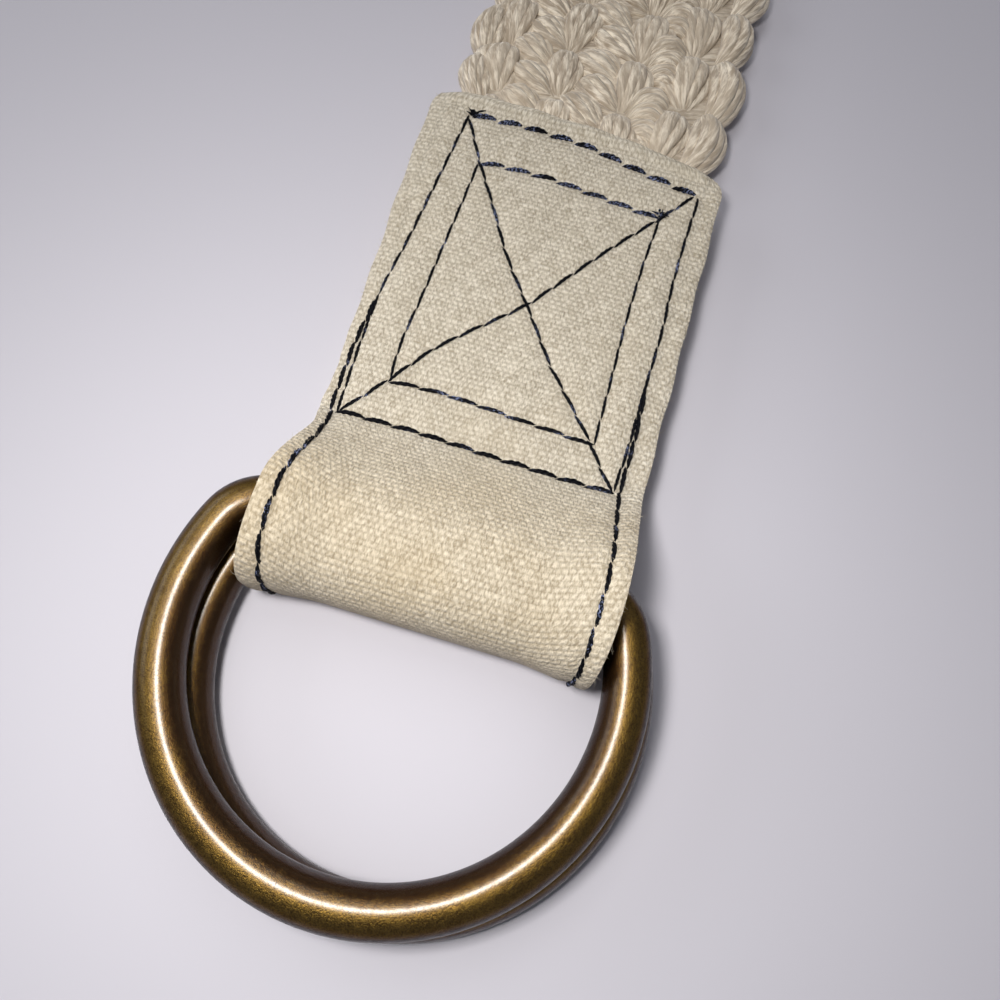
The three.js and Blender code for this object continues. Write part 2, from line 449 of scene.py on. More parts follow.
# painted shade: the canvas over the fold and under it is multiplied a little darker, in patches
painted_fold_shade = canvas.between(along, -0.1, 0.02, 1, 0) * canvas.between(patches, 0.2, 0.7, 0.4, 0.9)
cloth = canvas.mix(painted_fold_shade, cloth, srgb(246, 240, 229), "MULTIPLY")
canvas.set("Base Color", cloth)
canvas.set("Normal", canvas.bump(knuckles * 0.9 + fuzz, 0.00016, 0.85))
print("canvas nodes:", len(canvas.tree.nodes))

# %% [markdown]
# ## Folded tab
# The tab is one strip of canvas. It starts under the strap, runs back to the rings, turns over
# their bars and comes forward over the strap. So it is modelled as it is made: a flat grid, its
# length laid along the fold line and its width narrowing between the rings. A run from 0 to 4
# says how far along the strip a point is: up to 1 it is under the strap, up to 2 it turns round the
# bars, up to 3 it comes down the shoulder, and up to 4 it lies on the strap. Each stretch has its
# own rule, and the two tables give half the width at some of the runs, at the left and the right.

# %% Sizes of the fold
CANVAS_THICKNESS = 1.6
FLOOR_GAP = 0.02
TAB_END, TAB_TOP = 57.9, 8.2
EDGE_DROOP, EDGE_DROOP_FROM = 0.8, 20.2
CORNER_ROUNDING = 2.0
FOLD_X, FOLD_REACH, FOLD_TOP = -14.6, 10.0, 16.0
SQUARE_BELOW, SQUARE_ABOVE = 3.4, 2.3
SHOULDER_END = 2.0
FLARE_FROM, FLARE_TO, FLARE_UP, FLARE_OUT = 13.0, 23.4, 2.8, 0.9
WIDTH_RUNS = [0, 1, 1.5, 2, 2.6, 3, 4]
WIDTHS_LEFT = [23.8, 23.0, 21.8, 21.3, 20.8, 21.7, 23.6]
WIDTHS_RIGHT = [23.8, 23.0, 22.2, 22.8, 23.1, 23.4, 23.8]
ROUNDED_FROM, ROUNDED_OVER = 3.94, 0.06


def eased(t):
    t = np.clip(t, 0, 1)
    return t * t * (3 - 2 * t)


def step_between(x, low, high):
    return eased((x - low) / (high - low))


def stepped_table(run, widths):
    """The table's value at each run, eased from row to row."""
    at = np.clip(np.searchsorted(WIDTH_RUNS, run, side="left"), 1, len(WIDTH_RUNS) - 1)
    knots, sizes = np.array(WIDTH_RUNS), np.array(widths)
    t = step_between(run, knots[at - 1], knots[at])
    return sizes[at - 1] + (sizes[at] - sizes[at - 1]) * t


def skew(y):
    """How much further the folded edge lies at the left than at the right, and its slight curve."""
    return 0.07 * y - 0.003 * y * y


def fold_line(run, y, flare):
    """Middle of the canvas's thickness, as x and z, at a run from 0 to 4."""
    low = CANVAS_THICKNESS / 2
    high = FOLD_TOP + FLARE_UP * flare - CANVAS_THICKNESS / 2
    flat = TAB_TOP - CANVAS_THICKNESS / 2
    reach = FOLD_REACH + FLARE_OUT * flare - CANVAS_THICKNESS / 2
    end = TAB_END + skew(y)
    droop = EDGE_DROOP * step_between(np.abs(y), EDGE_DROOP_FROM, FLARE_TO)
    angle = np.clip(run - 1, 0, 1) * math.pi
    power = 2 / np.where(run < 1.5, SQUARE_BELOW, SQUARE_ABOVE)
    out = np.abs(np.sin(angle)) ** power
    rise = -np.sign(np.cos(angle)) * np.abs(np.cos(angle)) ** power
    shoulder = np.clip(run - 2, 0, 1)
    top = np.clip(run - 3, 0, 1)
    x = np.select(
        [run < 1, run < 2, run < 3],
        [end + (FOLD_X - end) * run, FOLD_X - reach * out, FOLD_X + (SHOULDER_END - FOLD_X) * shoulder],
        SHOULDER_END + (end - SHOULDER_END) * top)
    z = np.select(
        [run < 1, run < 2, run < 3],
        [low + 0 * x, low + (high - low) * (rise + 1) / 2,
         high + (flat - high) * eased(shoulder) - droop * shoulder ** 2],
        flat - droop)
    return x, z


print("fold at the middle, run 1.5:", [round(float(v), 2) for v in fold_line(np.array(1.5), 0.0, 0.0)])

# %% [markdown]
# Cloth doesn't stretch, so the grid's lines are spaced evenly along the strip and not along the
# rule's own numbers. The cell lays the strip out, keeps how far along the cloth each point lies,
# and measures the length to which the strip would be cut.

# %% The strip laid along the fold
ALONG, ACROSS = 340, 104
fine_run = np.linspace(0, 4, 1601)
side = np.linspace(-1, 1, ACROSS)[:, None]
flat_half = np.where(side > 0, WIDTHS_LEFT[-1], WIDTHS_RIGHT[-1])
flare = step_between(np.abs(side) * FLARE_TO, FLARE_FROM, FLARE_TO)
fine_x, fine_z = fold_line(fine_run[None, :] + 0 * side, side * flat_half, flare)
piece_lengths = np.hypot(np.diff(fine_x, axis=1), np.diff(fine_z, axis=1))
fine_length = np.concatenate([np.zeros((ACROSS, 1)), np.cumsum(piece_lengths, axis=1)], axis=1)

strip_run = np.empty((ACROSS, ALONG))
strip_length = np.empty((ACROSS, ALONG))
for j in range(ACROSS):
    even = np.linspace(0, fine_length[j, -1], ALONG)
    strip_run[j] = np.interp(even, fine_length[j], fine_run)
    at_zero = np.interp(2 + (0 - FOLD_X) / (SHOULDER_END - FOLD_X), fine_run, fine_length[j])
    strip_length[j] = even - at_zero
strip_x, strip_z = fold_line(strip_run, side * flat_half, flare)
half = np.where(side > 0, stepped_table(strip_run, WIDTHS_LEFT), stepped_table(strip_run, WIDTHS_RIGHT))
to_end = np.clip((strip_run - ROUNDED_FROM) / ROUNDED_OVER, 0, 1)
strip_y = side * (half - CORNER_ROUNDING * (1 - np.sqrt(1 - to_end ** 2)))
lean_x, lean_z = np.gradient(strip_x, axis=1), np.gradient(strip_z, axis=1)
lean = np.hypot(lean_x, lean_z)
strip_normal = np.stack([-lean_z / lean, 0 * lean, lean_x / lean], axis=-1)

# %% [markdown]
# ## Sewing lines
# The sewing is a table of lines on the canvas: an outer box, an inner box, a cross, back stitches
# at the sides and the two seams that go on over the fold. A point is how far along the cloth it
# lies from x = 0, and how far across. Each line is then divided into stitches of about 4 mm. The
# other columns are the stitch's length, how much of it shows, the thread's width and its slant.

# %% Sewing table
FOLD_SEAM = [(0, 19.7), (-8, 19.1), (-16.5, 19.3), (-24, 19.3), (-29, 18.9), (-38, 19.3), (-58, 20)]
RIGHT_SEAM = [(0, -20.2), (-14, -20.4), (-28, -20.4), (-40, -20.3), (-58, -20.2)]
THICK_LINE, THIN_SIDE_END, THICK_LINE_END = 0.7, 0.48, 0.42
SEWING_COLUMNS = ("line", "stitch", "shown", "width", "slant", "points")
SEWING_ROWS = [
    ("outer_top", 4.3, 0.92, 0.86, 0.34,
     [(54.6, 17.0), (54.9, 9), (54.8, 3), (54.2, -3), (52.4, -10), (51.5, -15), (50.5, -20.3)]),
    ("outer_left", 3.9, 1.06, 0.48, 0.08,
     [(54.6, 17.3), (45, 17.9), (38, 18.4), (30, 18.9), (20, 20.0), (10, 19.8), (0, 19.2)]),
    ("outer_right", 3.9, 1.06, 0.48, 0.08,
     [(50.5, -20.7), (40, -20.2), (33, -20.1), (26, -20.4), (15, -20), (7, -19.9), (0, -19.4)]),
    ("outer_bottom", 4.0, 1.08, 0.7, 0.22, [(0, 19.2), (0.2, 8), (-0.2, 0), (-0.5, -10), (-0.7, -19.4)]),
    ("inner_top", 4.3, 1.0, 0.72, 0.32,
     [(46.0, 13.2), (46.6, 8), (46.5, 2), (46.0, -3), (45.2, -10), (44.6, -15.6)]),
    ("inner_left", 3.9, 1.06, 0.44, 0.08,
     [(46, 13.2), (38, 13.4), (30, 13.7), (20, 14.0), (13, 14.5), (7, 14)]),
    ("inner_right", 3.9, 1.06, 0.44, 0.08,
     [(44.5, -15.8), (36, -15.2), (26, -15), (16, -15.2), (6, -15.3)]),
    ("inner_bottom", 4.0, 1.06, 0.6, 0.16, [(6.6, 14), (7.1, 7), (6.6, -1), (6.2, -8), (5.8, -15.2)]),
    ("cross_left", 4.0, 1.06, 0.52, 0.12,
     [(54, 17.2), (46, 13), (38, 8.2), (31, 4.4), (24, -0.8), (16, -6.2), (6, -14.8), (-0.3, -19.2)]),
    ("cross_right", 4.0, 1.06, 0.52, 0.12,
     [(50.4, -20), (45, -16), (37, -9.8), (24, -0.8), (14, 9.2), (7, 14), (0.3, 19)]),
    ("back_left", 3.9, 1.06, 0.64, 0.12, [(18.5, 20.1), (12, 20.6), (5, 20.5), (0, 20.2)]),
    ("back_right", 3.9, 1.06, 0.64, 0.12, [(16.5, -20.1), (9, -20.5), (0, -20.2)]),
    ("seam_left", 3.9, 1.06, 0.62, 0.1, FOLD_SEAM),
    ("seam_right", 3.9, 1.06, 0.62, 0.1, RIGHT_SEAM),
]
SEWING = [dict(zip(SEWING_COLUMNS, row)) for row in SEWING_ROWS]


def needle_points(points, stitch):
    """The line's needle holes, a stitch apart."""
    corners = np.array(points, float)
    reached = np.concatenate([[0], np.cumsum(np.hypot(*np.diff(corners, axis=0).T))])
    count = max(2, round(reached[-1] / stitch))
    even = np.linspace(0, reached[-1], count + 1)
    return np.stack([np.interp(even, reached, corners[:, k]) for k in (0, 1)], axis=1)


for row in SEWING:
    row["holes"] = needle_points(row["points"], row["stitch"])
    row["thin"] = THIN_SIDE_END if row["width"] < THICK_LINE else THICK_LINE_END
print("stitches on the upper side:", sum(len(row["holes"]) - 1 for row in SEWING))

# %% [markdown]
# Thread pulled tight sinks into the canvas and draws it into small puckers. So each point of the
# strip is pressed in by its distance to the nearest line and to the nearest needle hole, and the
# cloth between two lines stays a little proud. The turned edges are thicker, as a raised welt.

# %% Puckers and welts
LINE_DEPTH, LINE_REACH = 0.20, 0.75
HOLE_DEPTH, HOLE_REACH = 0.22, 0.8
LOWER_PRESS = 1.35
WELT_HEIGHT, WELT_MIDDLE = 0.30, 0.9
GROOVE_DEPTH, GROOVE_MIDDLE, GROOVE_REACH = 0.12, 2.4, 0.7
PUFF_HEIGHT, PUFF_FROM, PUFF_TO = 0.22, 0.6, 3.2
UNEVEN_BY, EDGE_WAVE = 0.16, 0.12


def nearest(points, targets):
    """Distance of each point to the nearest target, in batches."""
    found = np.empty(len(points))
    for first in range(0, len(points), 4096):
        batch = points[first:first + 4096, None, :] - targets[None]
        found[first:first + 4096] = np.sqrt((batch ** 2).sum(-1)).min(1)
    return found


def dense(holes):
    t = np.linspace(0, 1, 9)[:, None, None]
    return (holes[None, :-1] * (1 - t) + holes[None, 1:] * t).reshape(-1, 2)


upper_lines = np.concatenate([dense(row["holes"]) for row in SEWING])
upper_holes = np.concatenate([row["holes"] for row in SEWING])
lower = strip_run < 1
mirrored = np.stack([np.where(lower, strip_x, strip_length), strip_y], axis=-1).reshape(-1, 2)
to_line = nearest(mirrored, upper_lines).reshape(strip_x.shape)
to_hole = nearest(mirrored, upper_holes).reshape(strip_x.shape)
edge_left = np.abs(half) - np.abs(strip_y)
edge_top = np.where(strip_run > 3, (TAB_END + skew(strip_y)) - strip_x, 99)
edge = np.minimum(edge_left, edge_top)
on_top = step_between(strip_run, 2.2, 3.0)

random.seed(7)
wave = [(random.uniform(0.1, 0.45), random.uniform(0.1, 0.45), random.uniform(0, 6)) for _ in range(9)]
drift = sum(np.sin(a * strip_length + b * strip_y * 2 + c) for a, b, c in wave) / len(wave)
pressed = LINE_DEPTH * np.exp(-(to_line / LINE_REACH) ** 2)
pressed = pressed + HOLE_DEPTH * np.exp(-(to_hole / HOLE_REACH) ** 2)
pressed *= np.where(lower, LOWER_PRESS, 1.0)
welt = WELT_HEIGHT * np.exp(-((edge - WELT_MIDDLE) / WELT_MIDDLE) ** 2)
welt = welt - GROOVE_DEPTH * np.exp(-((edge - GROOVE_MIDDLE) / GROOVE_REACH) ** 2)
welt *= 0.35 + 0.65 * on_top
puff = PUFF_HEIGHT * on_top * step_between(to_line, PUFF_FROM, PUFF_TO) * (0.6 + drift)
raised_by = np.where(lower, -pressed, welt + puff + UNEVEN_BY * drift * on_top - pressed)
strip_points = np.stack([strip_x, strip_y, strip_z], axis=-1) + strip_normal * raised_by[..., None]
edge_wave = EDGE_WAVE * np.sin(0.55 * strip_length + 1.3) * np.abs(side) ** 6 * on_top
strip_points[..., 1] += edge_wave
print("pressed at most", round(float(pressed.max()), 2), "mm")

# %% [markdown]
# The strip's points now become a piece. A grid added with the same rows and columns already has
# the faces and the flat coordinates, so only its points move. Solidify gives it the canvas's
# thickness and Bevel rounds the cut edges. The lowest points are kept just above the floor.

# %% The tab as a piece
def laid_out(sheet, points, uv):
    """Moves a grid's points, and gives its faces' corners the flat place of their points."""
    corner = np.empty(len(sheet.data.loops), int)
    sheet.data.loops.foreach_get("vertex_index", corner)
    sheet.data.uv_layers[0].data.foreach_set("uv", uv[corner].astype(np.float32).ravel())
    sheet.data.vertices.foreach_set("co", points.ravel())
    sheet.data.update()


def finished_with(obj, kind, **settings):
    alone(obj)
    modifier = obj.modifiers.new(kind.lower(), kind)
    for name, value in settings.items():
        setattr(modifier, name, value)
    bpy.ops.object.modifier_apply(modifier=modifier.name)


def thickened(sheet, thickness, rounding, segments, even):
    """A thickness, and rounded cut edges. The sizes are in millimetres."""
    finished_with(sheet, "SOLIDIFY", thickness=thickness * MM, offset=0, use_even_offset=even)
    facing_out(sheet)
    finished_with(sheet, "BEVEL", width=rounding * MM, segments=segments,
                  limit_method="ANGLE", angle_limit=math.radians(50))


bpy.ops.object.select_all(action="DESELECT")
bpy.ops.mesh.primitive_grid_add(x_subdivisions=ALONG - 1, y_subdivisions=ACROSS - 1, size=1)
tab = bpy.context.object
tab.name = "canvas_folded_tab"
flat_grid = points_of(tab.data)
column = np.rint((flat_grid[:, 0] + 0.5) * (ALONG - 1)).astype(int)
line = np.rint((flat_grid[:, 1] + 0.5) * (ACROSS - 1)).astype(int)
flat_uv = np.stack([strip_length[line, column], (side * flat_half)[line, 0]], axis=-1) / FLAT_UV_MM
laid_out(tab, placed(strip_points[line, column]), flat_uv)
thickened(tab, CANVAS_THICKNESS, 0.72, 3, True)
lying = points_of(tab.data)
lying[:, 2] = np.maximum(lying[:, 2], FLOOR_GAP * MM)
tab.data.vertices.foreach_set("co", lying.ravel())
tab.data.update()
alone(tab)
bpy.ops.object.shade_smooth()
tab.data.materials.append(canvas.material)
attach(tab, "belt")
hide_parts("canvas_tab")
print("tab triangles:", sum(len(p.vertices) - 2 for p in tab.data.polygons))

# %% [markdown]
# ## Thread
# The thread is thick, navy and slightly shiny, of three plies twisted together, and pale blue glints are
# painted into its colour as painted highlights. One stitch is modelled as the thread is spun: the round
# section of a ply is set off from the middle, drawn out step by step and turned a little at each. The three
# plies start evenly spaced round the middle.

# %% Thread finish and one stitch
thread = Finish("navy_thread", Roughness=0.5)
thread.set("Specular IOR Level", 0.12)
thread_place = thread.place()
hairs = thread.noise(thread_place, 3800, 2)
painted_glint_patches = thread.noise(thread_place, 260, 2)
showing = thread.number("showing")
# painted highlights: pale blue glints mixed into the navy, more of them on the thick lines
glinting = thread.between(hairs, 0.50, 0.62) * thread.between(painted_glint_patches + showing * 0.16, 0.54, 0.66)
navy_with_painted_glints = thread.mix(glinting, srgb(6, 7, 14), srgb(130, 140, 176))
thread.set("Base Color", navy_with_painted_glints)
thread.set("Normal", thread.bump(hairs, 0.00008, 0.7))

PLY_SIDES, PLY_STEPS, PLIES = 6, 12, 3
PLY_TURN = 1.5


def twisted_strand(sides, steps, plies, radius, off_middle, turns):
    """A unit length of plied strand along +x, its plies joined into one model."""
    bpy.ops.object.select_all(action="DESELECT")
    facing_x = (0, math.pi / 2, 0)
    for ply in range(plies):
        start = ply * 2 * math.pi / plies
        off = (0, off_middle * math.cos(start), off_middle * math.sin(start))
        bpy.ops.mesh.primitive_circle_add(
            vertices=sides, radius=radius, rotation=facing_x, location=off)
        bpy.ops.object.transform_apply(location=True, rotation=True)
        with editing(bpy.context.object, "EDGE"):
            for step in range(1, steps + 1):
                drawn_along((1 / steps, 0, 0))
                bpy.ops.transform.rotate(
                    value=turns * 2 * math.pi / steps, orient_axis="X",
                    center_override=(step / steps, 0, 0))
        bpy.context.object.select_set(False)
    strands = [o for o in bpy.context.scene.objects if o.name.startswith("Circle")]
    for o in strands:
        o.select_set(True)
    bpy.context.view_layer.objects.active = strands[0]
    bpy.ops.object.join()
    return bpy.context.object


def taken_apart(obj):
    """A model's points and its faces as arrays, and the model removed."""
    points = points_of(obj.data)
    faces = np.array([tuple(p.vertices) for p in obj.data.polygons])
    bpy.data.objects.remove(obj)
    return points, faces


stitch_points, stitch_faces = taken_apart(
    twisted_strand(PLY_SIDES, PLY_STEPS, PLIES, 0.25, 0.29, PLY_TURN))
print("one stitch:", len(stitch_faces), "faces, x", stitch_points[:, 0].min(), stitch_points[:, 0].max())

# %% [markdown]
# Each stitch leaves one needle hole and goes down the next. Its place comes from the finished
# cloth, so it follows the fold and the puckers. It arches over the canvas, thins at its ends and
# lies a little aslant, as a lock stitch does. On the lower side it is thinner and lies flat. Each
# side's stitches are one mesh, joined from copies.

# %% Stitches on the canvas
STITCH_ARCH, END_SINK = 0.30, 0.10
LOWER_SINK, LOWER_SHARE = 0.05, 0.6
FIRST_GUESS_HALF = 23.7
outer_points = strip_points + strip_normal * CANVAS_THICKNESS / 2


def on_cloth(length, y, underneath=False):
    """The canvas's outer face and its normal at a point of the cloth."""
    j = (y / FIRST_GUESS_HALF + 1) / 2 * (ACROSS - 1)
    for _ in range(5):
        j0 = int(np.clip(j, 0, ACROSS - 1.001))
        lengths = strip_length[j0]
        if underneath:
            i = np.interp(-length, -strip_x[j0, :ALONG // 2], np.arange(ALONG // 2))
        else:
            i = np.interp(length, lengths, np.arange(ALONG))
        i0 = int(np.clip(i, 0, ALONG - 1.001))
        j = np.interp(y, outer_points[:, i0, 1], np.arange(ACROSS))
    j0 = int(np.clip(j, 0, ACROSS - 1.001))
    u, v = i - i0, j - j0

    def blend_of(grid):
        first = grid[j0, i0] * (1 - u) + grid[j0, i0 + 1] * u
        second = grid[j0 + 1, i0] * (1 - u) + grid[j0 + 1, i0 + 1] * u
        return first * (1 - v) + second * v

    return blend_of(outer_points), blend_of(strip_normal)


def joined_piece(name, points, faces, finish, uv=None, rounded=True, **numbers):
    """Many copies as one mesh on the belt. numbers are kept on its points for the finish."""
    mesh = bpy.data.meshes.new(name)
    mesh.from_pydata(np.concatenate(points).tolist(), [], np.concatenate(faces).tolist())
    if uv is not None:
        layer = mesh.uv_layers.new(name="flat")
        layer.data.foreach_set("uv", np.concatenate(uv).astype(np.float32).ravel())
    mesh.validate()
    for number, values in numbers.items():
        keep_number(mesh, number, np.concatenate(values))
    piece = linked(name, mesh)
    if rounded:
        facing_out(piece)
        bpy.ops.object.shade_smooth()
    mesh.materials.append(finish.material)
    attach(piece, "belt")
    print(name, "copies:", len(points), "triangles:", sum(len(f.vertices) - 2 for f in mesh.polygons))
    return piece


def sewn(name, underneath):
    """All the stitches of one side of the canvas, as one mesh."""
    points, faces, showing = [], [], []
    for row in SEWING:
        if underneath and row["line"].startswith(("seam", "back")):
            continue
        holes = row["holes"]
        for first, last in zip(holes[:-1], holes[1:]):
            way = (last - first) / np.hypot(*(last - first))
            aslant = np.array([-way[1], way[0]]) * row["slant"]
            x = stitch_points[:, 0]
            laid = np.empty_like(stitch_points)
            stations = {}
            for t in np.unique(x.round(4)):
                share = 0.5 + (t - 0.5) * row["shown"]
                flat = first + (last - first) * share + aslant * (2 * t - 1)
                stations[t] = on_cloth(*flat, underneath)
            start, end = stations[min(stations)][0], stations[max(stations)][0]
            forward = (end - start) / np.linalg.norm(end - start)
            for t, (spot, normal) in stations.items():
                here = x.round(4) == t
                bow = math.sin(math.pi * t)
                fullness = row["width"] * (row["thin"] + (1 - row["thin"]) * bow ** 0.7)
                height = row["width"] * STITCH_ARCH * bow ** 0.6 - END_SINK * (1 - bow) ** 2
                if underneath:
                    height = -LOWER_SINK
                    fullness *= LOWER_SHARE
                sideways = np.cross(normal, forward)
                laid[here] = (spot + normal * height
                              + np.outer(stitch_points[here, 1] * fullness, sideways)
                              + np.outer(stitch_points[here, 2] * fullness, normal))
            laid[:, 2] = np.maximum(laid[:, 2], FLOOR_GAP)
            faces.append(stitch_faces + len(points) * len(stitch_points))
            points.append(laid)
            # painted highlights: the thick lines get more of the pale blue glints
            showing.append(np.full(len(laid), 1.0 if row["width"] > THICK_LINE else 0.0))
    return joined_piece(name, [placed(stitch) for stitch in points], faces, thread, showing=showing)


stitches_above = sewn("stitches_upper", False)
stitches_below = sewn("stitches_lower", True)

# %% [markdown]
# Where a line of sewing starts or ends, the cut thread stands up as a small tuft. Each spike is
# one slim strand, wide where it leaves the cloth and nearly a point at its end.

# %% Thread tufts
TUFTS = [(55.0, 16.6), (45.3, -15.9)]
SPIKES_EACH = 13
tuft_random = np.random.default_rng(3)
spikes, spike_faces = [], []
for length, y in TUFTS:
    for _ in range(SPIKES_EACH):
        root, normal = on_cloth(length + tuft_random.normal(0, 0.3), y + tuft_random.normal(0, 0.3))
        turn = tuft_random.uniform(0, 2 * math.pi)
        lean = np.array([math.cos(turn), math.sin(turn), 0]) * tuft_random.uniform(0.5, 1.0)
        way = normal * tuft_random.uniform(0.3, 0.8) + lean
        way /= np.linalg.norm(way)
        sideways = np.cross(way, normal)
        sideways /= np.linalg.norm(sideways)
        upright = np.cross(sideways, way)
        reach, thick = tuft_random.uniform(0.7, 1.3), tuft_random.uniform(0.36, 0.5)
        x = stitch_points[:, 0]
        slim = thick * (1 - 0.8 * x)
        laid = (root + np.outer(x * reach, way) - np.outer(0.25 * x ** 2, normal)
                + np.outer(stitch_points[:, 1] * slim, sideways)
                + np.outer(stitch_points[:, 2] * slim, upright))
        spike_faces.append(stitch_faces + len(spikes) * len(stitch_points))
        spikes.append(laid)
tufts = joined_piece("thread_tufts", [placed(spike) for spike in spikes], spike_faces, thread,
                     showing=[np.zeros(len(spike)) for spike in spikes])

# %% [markdown]
# ## Cotton yarn
# The strap's yarn is thick, soft cotton of several loose plies. On each strand the plies show as slanted
# lines, painted paler as highlights where the fibres catch the light. The finish draws them along the
# strand's own coordinates, so they follow every bend, and paints shade on the strand where it lies low and
# thins as it dives into the band.

# %% Yarn finish
yarn = Finish("cotton_yarn", Roughness=0.9, Sheen_Weight=0.35, Sheen_Roughness=0.45)
yarn.set("Specular IOR Level", 0.25)
yarn_along, yarn_round = yarn.uv()
yarn_place = yarn.place()
deep = yarn.number("deep")
loose = yarn.noise(yarn_place, 360, 3) - 0.5
ply_at = yarn_round * 6 + yarn_along * 30 + loose * 0.3
ply_wave = (ply_at * (2 * math.pi)).maths("SINE")
streaks = yarn.noise(yarn.point(yarn_along * 36, ply_at * 1.15, yarn_round), 1.0, 3, 0.6)
wisps = yarn.noise(yarn.point(yarn_along * 48, ply_at * 3.6), 1.0, 2, 0.6)
# painted highlights: pale streaks where the fibres catch the light
glint = yarn.between(streaks * 0.85 + wisps * 0.35, 0.48, 0.80)
cotton = yarn.mix(glint, srgb(172, 157, 138), srgb(252, 241, 222))
tone = yarn.noise(yarn_place, 110, 3)
cotton = yarn.mix(yarn.between(tone, 0.38, 0.68, 0, 0.45), cotton, srgb(206, 192, 172))
# painted shade: the yarn is darker where its crease shade number is high
cotton = yarn.mix(yarn.between(deep, 0.35, 1.0, 0, 0.6), cotton, srgb(150, 136, 118))
yarn.set("Base Color", cotton)
yarn.set("Normal", yarn.bump(ply_wave * 0.10 + streaks * 0.9 + wisps * 0.5, 0.00030, 0.8))
print("yarn nodes:", len(yarn.tree.nodes))

# %% [markdown]
# ## One puff stitch
# In a puff stitch several loops of yarn are drawn up side by side and closed with one more, so it
# looks like a spindle: a pointed tip, a full middle and an end that tucks under the next. One
# strand is drawn out by extrusion. Its copies swell and thin, and lie side by side as the bundle.

# %% Strand and bundle
def one_strand(sides, steps):
    """A strand along +x from 0 to 1, of radius 1 at its fullest."""
    bpy.ops.object.select_all(action="DESELECT")
    bpy.ops.mesh.primitive_circle_add(vertices=sides, radius=1, rotation=(0, math.pi / 2, 0))
    bpy.ops.object.transform_apply(rotation=True)
    with editing(bpy.context.object, "EDGE"):
        for _ in range(steps):
            drawn_along((1 / steps, 0, 0))
    return taken_apart(bpy.context.object)


def swelling(t):
    """Share of the full width: drawn together at the tip, fullest past the middle, a round head."""
    return 0.16 + 0.84 * np.sin(math.pi * np.clip(t, 0, 1) ** 1.4) ** 0.6


def rising(t):
    """The tip dives into the point where the puffs meet, and the head stands over it."""
    return np.interp(t, [0, 0.1, 0.28, 0.5, 0.72, 0.88, 1], [-0.35, 0.15, 0.72, 0.96, 1.0, 0.74, 0.0])


def bundle(sides, steps, strands, tucked=True, lean=0.0):
    """Strands side by side over a rise. strands rows: across, up, radius, in millimetres."""
    base, faces = one_strand(sides, steps)
    loops = faces.reshape(-1)
    turn_of = np.mod(np.arctan2(base[:, 2], base[:, 1]) / (2 * math.pi), 1)
    points, all_faces, uv, lowness = [], [], [], []
    for n, (across_mm, up_mm, radius) in enumerate(strands):
        t = base[:, 0]
        full = swelling(t)
        up = rising(t) if tucked else full
        thick = radius * (0.42 + 0.58 * full)
        made = np.empty_like(base)
        made[:, 0] = t
        made[:, 1] = across_mm * full + lean * (0.5 - t) * full + base[:, 1] * thick
        made[:, 2] = up_mm * up + base[:, 2] * thick
        points.append(made)
        all_faces.append(faces + n * len(base))
        around = turn_of[loops].reshape(-1, 4)
        wraps = around.max(1) - around.min(1) > 0.5
        around[wraps] = np.where(around[wraps] < 0.5, around[wraps] + 1, around[wraps])
        uv.append(np.stack([base[loops, 0], around.ravel() + n * 0.37], axis=-1))
        # painted crease shade: larger where the strand lies low and where it thins
        lowness.append(np.clip(1 - (made[:, 2] + 0.6) / 2.8, 0, 1) * 0.6 + 0.4 * (1 - full))
    return {"points": np.concatenate(points), "faces": np.concatenate(all_faces),
            "uv": np.concatenate(uv), "deep": np.concatenate(lowness)}


def loosened(strands, seed):
    """The same strands, each a little out of its place."""
    chance = np.random.default_rng(seed)
    return [tuple(np.array(row) + chance.normal(0, (0.16, 0.14, 0.05))) for row in strands]


FIVE_OVER = [(-2.8, 0.35, 1.05), (-1.45, 1.2, 1.05), (0.0, 1.6, 1.08), (1.45, 1.2, 1.05), (2.8, 0.35, 1.05)]
FOUR_OVER = [(-2.6, 0.4, 1.2), (-0.9, 1.4, 1.25), (0.9, 1.4, 1.25), (2.6, 0.4, 1.2)]
EDGE_ROUND = [(-2.1, 1.55, 1.05), (-0.8, 2.2, 1.05), (0.6, 2.2, 1.05), (1.8, 1.35, 1.08), (2.35, 0.0, 1.1),
              (1.8, -1.35, 1.08), (0.6, -2.2, 1.05), (-0.8, -2.2, 1.05)]
near_puffs = [bundle(8, 12, loosened(FIVE_OVER, 20 + n), lean=(1.0, -0.6, 0.3)[n]) for n in range(3)]
far_puffs = [bundle(6, 6, loosened(FOUR_OVER, 30 + n), lean=(1.0, -0.4)[n]) for n in range(2)]
back_puffs = [bundle(5, 5, loosened(FOUR_OVER, 40), lean=0.8)]
near_edges = [bundle(8, 12, loosened(EDGE_ROUND, 50 + n), tucked=False) for n in range(2)]
far_edges = [bundle(5, 6, loosened(EDGE_ROUND, 60), tucked=False)]
print("puff faces, near and far:", len(near_puffs[0]["faces"]), len(far_puffs[0]["faces"]))

# %% [markdown]
# ## The pattern of the crochet
# The puffs stand in columns. In each row a column has one upright puff, and slanting puffs lean
# from the gap between two columns down to the tip of the next. The table is one repeat: where a
# puff's tip is, where it bends and where its end tucks in, in millimetres from the row's start.
#
# The tab holds the strap narrower and thinner, and past it the strap eases to its full size. The
# edge puffs go on inside the tab, where the open sides show them, and the others stop a little way
# in. At the far end the rows are squeezed together, and a last row of bundles lies across them.

